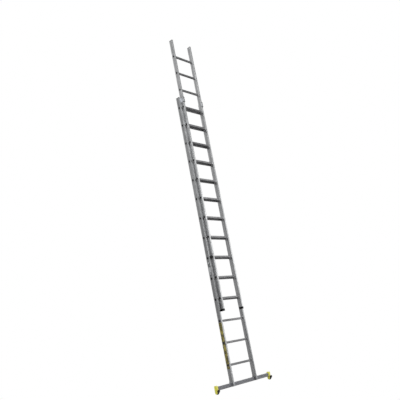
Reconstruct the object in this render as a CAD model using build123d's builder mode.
from build123d import *
import math
import os

# Two-section push-up extension ladder, standing at its working lean with the fly raised three rungs.
# Row frame: X along the rungs, +Y from the climber to the wall, +Z up. The origin is on the floor,
# midway between the two feet. All sizes are in millimetres.

# Ladder geometry
lean_angle = 75.5
rung_pitch = 280
rung_count = 14
raised_rungs = 3
stile_length = 4060
base_width = 490
fly_width = 406
fly_forward = 42
fly_rung_lift = 9
base_foot_overhang = 260
fly_foot_overhang = 150

# Box-section stile
stile_width = 22
stile_depth = 60
stile_wall = 1.8
stile_corner = 3
groove_width = 4
groove_depth = 0.6
groove_offset = 20
lip_reach = 8
lip_thickness = 3
lip_forward = 22.5

# Hollow serrated rung
rung_depth = 26
rung_height = 28
rung_corner = 6
rung_wall = 2.0
rung_setback = 1.5
serration_width = 1.4
serration_depth = 0.8
serration_pitch = 3.2
serrations = 5
collar_rim = 4
collar_thickness = 2.5

# Plastic caps in the stile ends
top_cap_thickness = 6
end_cap_thickness = 12
spigot_depth = 20

# Guides between the two sections
running_gap = 0.5
liner_thickness = 2
bracket_thickness = 4
bracket_height = 70
bracket_below_top = 5
liner_overlap = 2
hook_return = 14
liner_leg = 24
shoe_length = 80
shoe_thickness = 8
shoe_reach = 16.5
rivet_radius = 2.4
rivet_head_radius = 4.5
rivet_head_height = 1.8
rivet_spacing = 36

# Rung lock
lock_rung = 3
shaft_radius = 6
bush_clearance = 0.05
bush_length = 20
lock_plate = 5
lock_hub_radius = 14
lock_rung_gap = 0.3
lock_arm_height = 15
lock_nose = 5
lock_nose_gap = 0.8
lock_cap_radius = 20
lock_cap_thickness = 4.5

# Stabiliser bar, its clamps and its feet
bar_length = 1044
bar_depth = 26
bar_height = 46
bar_wall = 2.5
bar_corner = 4
clamp_plate = 3
clamp_height = 62
bolt_radius = 4
bolt_head_radius = 7.5
bolt_head_height = 6
flange_radius = 8.5
flange_thickness = 1.5
bolt_tip = 3
foot_width = 26
foot_depth = 42
foot_top = 59
foot_drop = 19
foot_plug_length = 28
pad_radius = 12
pad_low = (-6, -31.5)
pad_high = (-34, -3)
sole_flat = 0.6
screw_radius = 2
screw_length = 11
screw_head_radius = 4
screw_head_height = 2.4
screw_inset = 14

# Printed labels
label_thickness = 0.4
label_width = 50
label_bottom = 215
label_length = 585
sticker_width = 40
sticker_bottom = 1415
sticker_length = 190

# Derived sizes
lean = math.radians(lean_angle)
sole_height = pad_radius - pad_low[1] * math.sin(lean) + pad_low[0] * math.cos(lean) - sole_flat
stile_inner_width = stile_width - 2 * stile_wall
stile_inner_depth = stile_depth - 2 * stile_wall
base_inside = base_width / 2 - stile_width
fly_inside = fly_width / 2 - stile_width
fly_bottom = base_foot_overhang + raised_rungs * rung_pitch + fly_rung_lift - fly_foot_overhang
base_rungs = [base_foot_overhang + i * rung_pitch for i in range(rung_count)]
fly_rungs = [fly_bottom + fly_foot_overhang + i * rung_pitch for i in range(rung_count)]
lock_height = fly_rungs[lock_rung - 1]
sides = ((-1, "left"), (1, "right"))

# The ladder's own plane: x along the rungs, y away from the climber, z up the stiles.
ladder = Plane(
    origin=(0, 0, sole_height),
    x_dir=(1, 0, 0),
    z_dir=(0, math.cos(lean), math.sin(lean)),
)
up_axis = Axis(ladder.origin, ladder.z_dir)
across_axis = Axis(ladder.origin, ladder.x_dir)


def level(up):
    """Plane square to the stiles at a height up the ladder."""
    return ladder.offset(up)


def side_view(across):
    """Plane square to the rungs: its x points away from the climber, its y up the stiles."""
    origin = ladder.from_local_coords((across, 0, 0))
    return Plane(origin=origin, x_dir=ladder.y_dir, z_dir=ladder.x_dir)


def front_view(back):
    """Plane facing the climber: its x runs along the rungs, its y up the stiles."""
    origin = ladder.from_local_coords((0, back, 0))
    return Plane(origin=origin, x_dir=ladder.x_dir, z_dir=-ladder.y_dir)


def save(piece, label):
    piece.part.label = label
    export_step(piece.part, f"parts/{label}.step")


def inward(side):
    """Sign of the direction from a stile on this side to the ladder's centre."""
    return -side


def stile_section(side, outer, back):
    """Ribbed hollow outline of a stile, drawn into the open sketch."""
    faces = (side * outer, side * (outer - stile_width))
    with Locations((side * (outer - stile_width / 2), back)):
        RectangleRounded(stile_width, stile_depth, stile_corner)
        Rectangle(stile_inner_width, stile_inner_depth, mode=Mode.SUBTRACT)
    with Locations(*[(x, back + s * groove_offset) for x in faces for s in (-1, 1)]):
        Rectangle(2 * groove_depth, groove_width, mode=Mode.SUBTRACT)


def rung_windows(back, rungs):
    """Outlines of the windows for the rung ends, drawn into the open sketch."""
    with Locations(*[(back, up) for up in rungs]):
        RectangleRounded(rung_depth, rung_height, rung_corner)


def bar_slot():
    """Outline of the bar, open at the stile's lower end, drawn into the open sketch."""
    with Locations((0, bar_height / 2)):
        RectangleRounded(bar_depth, bar_height, bar_corner)
    with Locations((0, bar_height / 4)):
        Rectangle(bar_depth, bar_height / 2)


def base_stile(side, name):
    """Base stile with its guide lip, rung windows, bar slot, bolt hole and rivet holes."""
    centre = side * (base_width / 2 - stile_width / 2)
    with BuildPart() as piece:
        with BuildSketch(level(0)):
            stile_section(side, base_width / 2, 0)
            with Locations((side * (base_inside - lip_reach / 2), -lip_forward)):
                Rectangle(lip_reach, lip_thickness)
        extrude(amount=stile_length)
        with BuildSketch(side_view(centre)):
            rung_windows(rung_setback, base_rungs)
            bar_slot()
        extrude(amount=stile_width, both=True, mode=Mode.SUBTRACT)
        with BuildSketch(front_view(0)):
            with Locations((centre, bar_height / 2)):
                Circle(bolt_radius)
        extrude(amount=stile_depth, both=True, mode=Mode.SUBTRACT)
        with BuildSketch(front_view(-stile_depth / 4)):
            with Locations(*[(centre, up) for up in bracket_rivet_heights()]):
                Circle(rivet_radius)
        extrude(amount=stile_depth, mode=Mode.SUBTRACT)
    save(piece, f"base_stile_{name}")


def fly_stile(side, name):
    """Fly stile with its rung windows, and the rivet holes of its guide shoe."""
    centre = side * (fly_width / 2 - stile_width / 2)
    with BuildPart() as piece:
        with BuildSketch(level(fly_bottom)):
            stile_section(side, fly_width / 2, -fly_forward)
        extrude(amount=stile_length)
        with BuildSketch(side_view(centre)):
            rung_windows(-fly_forward, fly_rungs)
        extrude(amount=stile_width, both=True, mode=Mode.SUBTRACT)
        with BuildSketch(side_view(centre)):
            with Locations(*shoe_rivet_places()):
                Circle(rivet_radius)
        extrude(amount=side * stile_width, mode=Mode.SUBTRACT)
    save(piece, f"fly_stile_{name}")


def bracket_rivet_heights():
    middle = stile_length - bracket_below_top - bracket_height / 2
    return [middle - rivet_spacing / 2, middle + rivet_spacing / 2]


def shoe_rivet_places():
    middle = fly_bottom + end_cap_thickness + shoe_length / 2
    back = -(fly_forward - stile_depth / 2 + running_gap + shoe_thickness / 2)
    return [(back, middle - rivet_spacing / 2), (back, middle + rivet_spacing / 2)]


def rung(label, width, back, up):
    """Hollow rung with a serrated tread and underside, as long as the section is wide."""
    grooves = [(serration_pitch * (i - (serrations - 1) / 2)) for i in range(serrations)]
    places = [(back + g, up + s * rung_height / 2) for g in grooves for s in (-1, 1)]
    hollow = (rung_depth - 2 * rung_wall, rung_height - 2 * rung_wall)
    with BuildPart() as piece:
        with BuildSketch(side_view(-width / 2)):
            with Locations((back, up)):
                RectangleRounded(rung_depth, rung_height, rung_corner)
                RectangleRounded(*hollow, rung_corner - rung_wall, mode=Mode.SUBTRACT)
            with Locations(*places):
                Rectangle(serration_width, 2 * serration_depth, mode=Mode.SUBTRACT)
        extrude(amount=width)
    save(piece, label)


def rung_collars(label, inside, back, rungs):
    """Swaged collars round every rung, against the inner faces of both stiles."""
    outline = (rung_depth + 2 * collar_rim, rung_height + 2 * collar_rim)
    with BuildPart() as piece:
        for side, _ in sides:
            with BuildSketch(side_view(side * inside)):
                with Locations(*[(back, up) for up in rungs]):
                    RectangleRounded(*outline, rung_corner + collar_rim)
                    RectangleRounded(rung_depth, rung_height, rung_corner, mode=Mode.SUBTRACT)
            extrude(amount=inward(side) * collar_thickness)
        rims = piece.edges().filter_by(Plane(ladder.origin, z_dir=ladder.x_dir))
        inner_rims = [e for e in rims if abs(abs(e.center().X) - inside + collar_thickness) < 0.01]
        outer_rims = [e for e in inner_rims if is_outer_rim(e, back, rungs)]
        chamfer(outer_rims, collar_thickness / 2)
    save(piece, label)


def is_outer_rim(edge, back, rungs):
    """True for an edge of a collar's outer outline, which lies clear of the rung."""
    place = ladder.to_local_coords(edge.center())
    rise = min(abs(place.Z - up) for up in rungs)
    beyond_side = abs(place.Y - back) > rung_depth / 2 + collar_rim / 2
    beyond_top = rise > rung_height / 2 + collar_rim / 2
    corner = abs(place.Y - back) > rung_depth / 2 - 1 and rise > rung_height / 2 - 1
    return beyond_side or beyond_top or corner


def stile_caps(label, outer, back, end, thickness, direction):
    """Pair of plastic caps: a plate on the end of each stile, and a spigot inside it."""
    with BuildPart() as piece:
        places = [(side * (outer - stile_width / 2), back) for side, _ in sides]
        with BuildSketch(level(end)):
            with Locations(*places):
                RectangleRounded(stile_width, stile_depth, stile_corner)
        extrude(amount=direction * thickness)
        rims = piece.edges().group_by(up_axis)
        chamfer(rims[-1] if direction > 0 else rims[0], stile_corner / 2)
        with BuildSketch(level(end)):
            with Locations(*places):
                Rectangle(stile_inner_width, stile_inner_depth)
        extrude(amount=-direction * spigot_depth)
    save(piece, label)


def guide_bracket(side, name):
    """Bent plate riveted to the front of a base stile and hooked round the fly stile's front edge."""
    fly_outer = fly_width / 2
    fly_front = fly_forward + stile_depth / 2
    lining = running_gap + liner_thickness
    leg_outside = fly_outer + lining + bracket_thickness
    leg_inside = fly_outer + lining
    front_inside = fly_front + lining
    front_outside = front_inside + bracket_thickness
    tip_inside = fly_inside - lining
    tip_outside = tip_inside - bracket_thickness
    tip_end = front_outside - hook_return - bracket_thickness
    stile_front = stile_depth / 2
    outline = [
        (base_width / 2, stile_front),
        (base_width / 2, stile_front + bracket_thickness),
        (leg_outside, stile_front + bracket_thickness),
        (leg_outside, front_outside),
        (tip_outside, front_outside),
        (tip_outside, tip_end),
        (tip_inside, tip_end),
        (tip_inside, front_inside),
        (leg_inside, front_inside),
        (leg_inside, stile_front),
    ]
    bottom = stile_length - bracket_below_top - bracket_height
    with BuildPart() as piece:
        with BuildSketch(level(bottom)):
            with BuildLine():
                Polyline(*[(side * out, -forward) for out, forward in outline], close=True)
            make_face()
        extrude(amount=bracket_height)
        stile_centre = side * (base_width / 2 - stile_width / 2)
        with BuildSketch(front_view(-stile_front)):
            with Locations(*[(stile_centre, up) for up in bracket_rivet_heights()]):
                Circle(rivet_radius)
        extrude(amount=bracket_thickness, mode=Mode.SUBTRACT)
        bends = piece.edges().filter_by(up_axis)
        corners = [(leg_outside, front_outside), (tip_outside, front_outside)]
        fillet([nearest(bends, side * out, -forward) for out, forward in corners], bracket_thickness)
    save(piece, f"guide_bracket_{name}")


def nearest(edges, across, back):
    """The edge along the stiles that is nearest to a place on the section."""
    def distance(edge):
        place = ladder.to_local_coords(edge.center())
        return math.hypot(place.X - across, place.Y - back)
    return min(edges, key=distance)


def guide_liners():
    """Nylon channels inside the two guide brackets, which the fly stiles slide in."""
    outer = fly_width / 2 + running_gap
    front = fly_forward + stile_depth / 2 + running_gap
    inner = fly_inside - running_gap
    tip_end = front + liner_thickness - hook_return
    outline = [
        (outer, front - liner_leg),
        (outer + liner_thickness, front - liner_leg),
        (outer + liner_thickness, front + liner_thickness),
        (inner - liner_thickness, front + liner_thickness),
        (inner - liner_thickness, tip_end),
        (inner, tip_end),
        (inner, front),
        (outer, front),
    ]
    bottom = stile_length - bracket_below_top - bracket_height - liner_overlap
    with BuildPart() as piece:
        for side, _ in sides:
            with BuildSketch(level(bottom)):
                with BuildLine():
                    Polyline(*[(side * out, -forward) for out, forward in outline], close=True)
                make_face()
            extrude(amount=bracket_height + 2 * liner_overlap)
    save(piece, "guide_liners")


def guide_rivets():
    """Domed rivets that hold the guide brackets on the fronts of the base stiles."""
    face = -(stile_depth / 2 + bracket_thickness)
    centre = base_width / 2 - stile_width / 2
    places = [(side * centre, up) for side, _ in sides for up in bracket_rivet_heights()]
    with BuildPart() as piece:
        with BuildSketch(front_view(face)):
            with Locations(*places):
                Circle(rivet_head_radius)
        extrude(amount=rivet_head_height)
        chamfer(piece.edges().group_by(Axis(ladder.origin, ladder.y_dir))[0], rivet_head_height / 2)
        with BuildSketch(front_view(face)):
            with Locations(*places):
                Circle(rivet_radius)
        extrude(amount=-(bracket_thickness + stile_wall))
    save(piece, "guide_rivets")


def guide_shoes():
    """Nylon blocks on the foot of the fly stiles, which run behind the lips of the base stiles."""
    fly_rear = fly_forward - stile_depth / 2
    middle = fly_bottom + end_cap_thickness + shoe_length / 2
    with BuildPart() as piece:
        for side, _ in sides:
            with BuildSketch(side_view(side * fly_width / 2)):
                with Locations((-(fly_rear + running_gap + shoe_thickness / 2), middle)):
                    RectangleRounded(shoe_thickness, shoe_length, shoe_thickness / 4)
            extrude(amount=side * shoe_reach)
            with BuildSketch(side_view(side * fly_width / 2)):
                with Locations(*shoe_rivet_places()):
                    Circle(rivet_radius)
            extrude(amount=side * shoe_reach, mode=Mode.SUBTRACT)
    save(piece, "guide_shoes")


def shoe_rivets():
    """Long rivets through the guide shoes into the outer walls of the fly stiles."""
    with BuildPart() as piece:
        for side, _ in sides:
            with BuildSketch(side_view(side * (fly_width / 2 - stile_wall))):
                with Locations(*shoe_rivet_places()):
                    Circle(rivet_radius)
            extrude(amount=side * (stile_wall + shoe_reach))
    save(piece, "shoe_rivets")


def lock_hook(side, name):
    """Hook plate on the end of the lock shaft. Its arm sits on a base rung, its nose behind it."""
    rung_top = lock_height - fly_rung_lift + rung_height / 2
    rung_rear = rung_setback + rung_depth / 2
    arm_bottom = rung_top + lock_rung_gap
    arm_top = arm_bottom + lock_arm_height
    nose_front = rung_rear + lock_nose_gap
    nose_rear = nose_front + lock_nose
    nose_bottom = rung_top - rung_height / 2
    pivot = (-fly_forward, lock_height)
    near = fly_width / 2 + running_gap
    with BuildPart() as piece:
        with BuildSketch(side_view(side * near)):
            with BuildLine():
                Polyline(
                    (pivot[0], pivot[1] - lock_hub_radius / 2),
                    (pivot[0] + lock_hub_radius, arm_bottom),
                    (nose_front, arm_bottom),
                    (nose_front, nose_bottom),
                    (nose_rear, nose_bottom),
                    (nose_rear, arm_top),
                    (pivot[0], arm_top),
                    close=True,
                )
            make_face()
            with Locations(pivot):
                Circle(lock_hub_radius)
                Circle(shaft_radius, mode=Mode.SUBTRACT)
        extrude(amount=side * lock_plate)
        fillet(nearest_across(piece, nose_rear, arm_top), lock_nose)
    save(piece, f"lock_hook_{name}")


def nearest_across(piece, back, up):
    """The edge along the rungs that is nearest to a place in the side view."""
    def distance(edge):
        place = ladder.to_local_coords(edge.center())
        return math.hypot(place.Y - back, place.Z - up)
    return min(piece.edges().filter_by(across_axis), key=distance)


def lock_shaft():
    """Shaft through the hollow rung. It joins the two hooks, so they turn as one."""
    half = fly_width / 2 + running_gap + lock_plate
    with BuildPart() as piece:
        with BuildSketch(side_view(-half)):
            with Locations((-fly_forward, lock_height)):
                Circle(shaft_radius)
        extrude(amount=2 * half)
    save(piece, "lock_shaft")


def lock_bushes():
    """Nylon bushes in both ends of the rung that carries the lock shaft."""
    hollow = (rung_depth - 2 * rung_wall, rung_height - 2 * rung_wall)
    with BuildPart() as piece:
        for side, _ in sides:
            with BuildSketch(side_view(side * fly_width / 2)):
                with Locations((-fly_forward, lock_height)):
                    RectangleRounded(*hollow, rung_corner - rung_wall)
                    Circle(shaft_radius + bush_clearance, mode=Mode.SUBTRACT)
            extrude(amount=inward(side) * bush_length)
    save(piece, "lock_bushes")


def lock_caps():
    """Round black caps over the ends of the lock shaft."""
    face = fly_width / 2 + running_gap + lock_plate
    with BuildPart() as piece:
        for side, _ in sides:
            with BuildSketch(side_view(side * face)):
                with Locations((-fly_forward, lock_height)):
                    Circle(lock_cap_radius)
            extrude(amount=side * lock_cap_thickness)
        rims = piece.edges().group_by(across_axis)
        chamfer(rims[0] + rims[-1], lock_cap_thickness / 3)
    save(piece, "lock_caps")


def stabiliser_bar():
    """Rectangular tube through both stile ends, with the bolt and screw holes of its fixings."""
    stile_centre = base_width / 2 - stile_width / 2
    screw_centre = bar_length / 2 - screw_inset
    with BuildPart() as piece:
        with BuildSketch(side_view(-bar_length / 2)):
            with Locations((0, bar_height / 2)):
                RectangleRounded(bar_depth, bar_height, bar_corner)
                Rectangle(bar_depth - 2 * bar_wall, bar_height - 2 * bar_wall, mode=Mode.SUBTRACT)
        extrude(amount=bar_length)
        with BuildSketch(front_view(0)):
            with Locations((-stile_centre, bar_height / 2), (stile_centre, bar_height / 2)):
                Circle(bolt_radius)
        extrude(amount=bar_depth, both=True, mode=Mode.SUBTRACT)
        with BuildSketch(front_view(0)):
            with Locations((-screw_centre, bar_height / 2), (screw_centre, bar_height / 2)):
                Circle(screw_radius)
        extrude(amount=-bar_depth, mode=Mode.SUBTRACT)
    save(piece, "stabiliser_bar")


def stabiliser_clamp(side, name):
    """U-shaped plate round the front, outside and rear of a stile end, bolted through the bar."""
    outside = base_width / 2 + clamp_plate
    reach = stile_width + clamp_plate
    with BuildPart() as piece:
        with BuildSketch(level(0)):
            with Locations((side * (outside - reach / 2), 0)):
                Rectangle(reach, stile_depth + 2 * clamp_plate)
            with Locations((side * (base_width / 2 - stile_width / 2), 0)):
                Rectangle(stile_width, stile_depth, mode=Mode.SUBTRACT)
        extrude(amount=clamp_height)
        with BuildSketch(side_view(side * base_width / 2)):
            bar_slot()
        extrude(amount=side * 2 * clamp_plate, mode=Mode.SUBTRACT)
        with BuildSketch(front_view(0)):
            with Locations((side * (base_width / 2 - stile_width / 2), bar_height / 2)):
                Circle(bolt_radius)
        extrude(amount=stile_depth, both=True, mode=Mode.SUBTRACT)
        bends = piece.edges().filter_by(up_axis)
        depth = stile_depth / 2 + clamp_plate
        fillet([nearest(bends, side * outside, back) for back in (-depth, depth)], clamp_plate)
    save(piece, f"stabiliser_clamp_{name}")


def clamp_bolts():
    """Flange bolts from the front, through clamp, stile and bar."""
    face = stile_depth / 2 + clamp_plate
    places = [(side * (base_width / 2 - stile_width / 2), bar_height / 2) for side, _ in sides]
    tail = 2 * face + flange_thickness + bolt_head_height + bolt_tip
    with BuildPart() as piece:
        with BuildSketch(front_view(-face)):
            with Locations(*places):
                Circle(bolt_radius)
        extrude(amount=-tail)
        with BuildSketch(front_view(-face)):
            with Locations(*places):
                Circle(flange_radius)
        extrude(amount=flange_thickness)
        with BuildSketch(front_view(-face - flange_thickness)):
            with Locations(*places):
                RegularPolygon(bolt_head_radius, 6)
        extrude(amount=bolt_head_height)
    save(piece, "clamp_bolts")


def clamp_nuts():
    """Flange nuts on the rear ends of the clamp bolts."""
    face = stile_depth / 2 + clamp_plate
    places = [(side * (base_width / 2 - stile_width / 2), bar_height / 2) for side, _ in sides]
    with BuildPart() as piece:
        with BuildSketch(front_view(face)):
            with Locations(*places):
                Circle(flange_radius)
        extrude(amount=-flange_thickness)
        with BuildSketch(front_view(face + flange_thickness)):
            with Locations(*places):
                RegularPolygon(bolt_head_radius, 6)
        extrude(amount=-bolt_head_height)
        with BuildSketch(front_view(face)):
            with Locations(*places):
                Circle(bolt_radius)
        extrude(amount=-(flange_thickness + bolt_head_height), mode=Mode.SUBTRACT)
    save(piece, "clamp_nuts")


def foot_outline():
    """Round-bottomed foot outline in the side view, drawn into the open sketch."""
    straight = foot_top + foot_drop
    with Locations((0, foot_top - straight / 2)):
        Rectangle(foot_depth, straight)
    with Locations((0, -foot_drop)):
        Circle(foot_depth / 2)


def stabiliser_foot(side, name):
    """Yellow moulded end foot with a plug that fills the end of the bar."""
    inner = bar_length / 2
    screw_centre = inner - screw_inset
    with BuildPart() as piece:
        with BuildSketch(side_view(side * inner)):
            foot_outline()
        extrude(amount=side * foot_width)
        top = piece.edges().filter_by(across_axis).group_by(up_axis)[-1]
        fillet(top, bar_corner)
        fillet(piece.edges().group_by(across_axis)[-1 if side > 0 else 0], bar_corner)
        with BuildSketch(side_view(side * inner)):
            with Locations((0, bar_height / 2)):
                Rectangle(bar_depth - 2 * bar_wall, bar_height - 2 * bar_wall)
        extrude(amount=-side * foot_plug_length)
        with BuildSketch(front_view(bar_depth / 2)):
            with Locations((side * screw_centre, bar_height / 2)):
                Circle(screw_radius)
        extrude(amount=screw_length, mode=Mode.SUBTRACT)
    save(piece, f"stabiliser_foot_{name}")


def foot_pad(side, name):
    """Black rubber pad on the front of a foot. A flat on its low end stands on the floor."""
    inner = bar_length / 2
    slope = math.atan2(pad_high[1] - pad_low[1], pad_high[0] - pad_low[0])
    middle = ((pad_low[0] + pad_high[0]) / 2, (pad_low[1] + pad_high[1]) / 2)
    with BuildPart() as piece:
        with BuildSketch(side_view(side * inner)):
            with Locations(Location((middle[0], middle[1], 0), (0, 0, math.degrees(slope)))):
                SlotCenterToCenter(math.dist(pad_low, pad_high), 2 * pad_radius)
        extrude(amount=side * foot_width)
        with BuildSketch(side_view(side * inner)):
            foot_outline()
        extrude(amount=side * foot_width, mode=Mode.SUBTRACT)
        split(bisect_by=Plane.XY, keep=Keep.TOP)
    save(piece, f"foot_pad_{name}")


def foot_screws():
    """Pan-head screws through the rear of the bar into the plugs of the two feet."""
    places = [(side * (bar_length / 2 - screw_inset), bar_height / 2) for side, _ in sides]
    with BuildPart() as piece:
        with BuildSketch(front_view(bar_depth / 2)):
            with Locations(*places):
                Circle(screw_radius)
        extrude(amount=screw_length)
        with BuildSketch(front_view(bar_depth / 2)):
            with Locations(*places):
                Circle(screw_head_radius)
        extrude(amount=-screw_head_height)
        rims = piece.edges().group_by(Axis(ladder.origin, ladder.y_dir))
        chamfer(rims[-1], screw_head_height / 3)
    save(piece, "foot_screws")


def printed_label(label, width, bottom, length):
    """Thin label on the outer face of the left base stile, cut away round the rung ends."""
    rungs = [up for up in base_rungs if bottom < up < bottom + length]
    with BuildPart() as piece:
        with BuildSketch(side_view(-base_width / 2)):
            with Locations((0, bottom + length / 2)):
                RectangleRounded(width, length, stile_corner)
            if rungs:
                with Locations(*[(rung_setback, up) for up in rungs]):
                    RectangleRounded(rung_depth, rung_height, rung_corner, mode=Mode.SUBTRACT)
        extrude(amount=-label_thickness)
    save(piece, label)


os.makedirs("parts", exist_ok=True)

for side, name in sides:
    base_stile(side, name)
    fly_stile(side, name)
    guide_bracket(side, name)
    lock_hook(side, name)
    stabiliser_clamp(side, name)
    stabiliser_foot(side, name)
    foot_pad(side, name)

for number in range(rung_count):
    rung(f"base_rung_{number + 1:02d}", base_width, rung_setback, base_rungs[number])
    rung(f"fly_rung_{number + 1:02d}", fly_width, -fly_forward, fly_rungs[number])

rung_collars("base_rung_collars", base_inside, rung_setback, base_rungs)
rung_collars("fly_rung_collars", fly_inside, -fly_forward, fly_rungs)
stile_caps("base_top_caps", base_width / 2, 0, stile_length, top_cap_thickness, 1)
stile_caps("fly_top_caps", fly_width / 2, -fly_forward, fly_bottom + stile_length, top_cap_thickness, 1)
stile_caps("fly_end_caps", fly_width / 2, -fly_forward, fly_bottom, end_cap_thickness, -1)
guide_liners()
guide_rivets()
guide_shoes()
shoe_rivets()
lock_shaft()
lock_bushes()
lock_caps()
stabiliser_bar()
clamp_bolts()
clamp_nuts()
foot_screws()
printed_label("safety_label", label_width, label_bottom, label_length)
printed_label("stile_sticker", sticker_width, sticker_bottom, sticker_length)
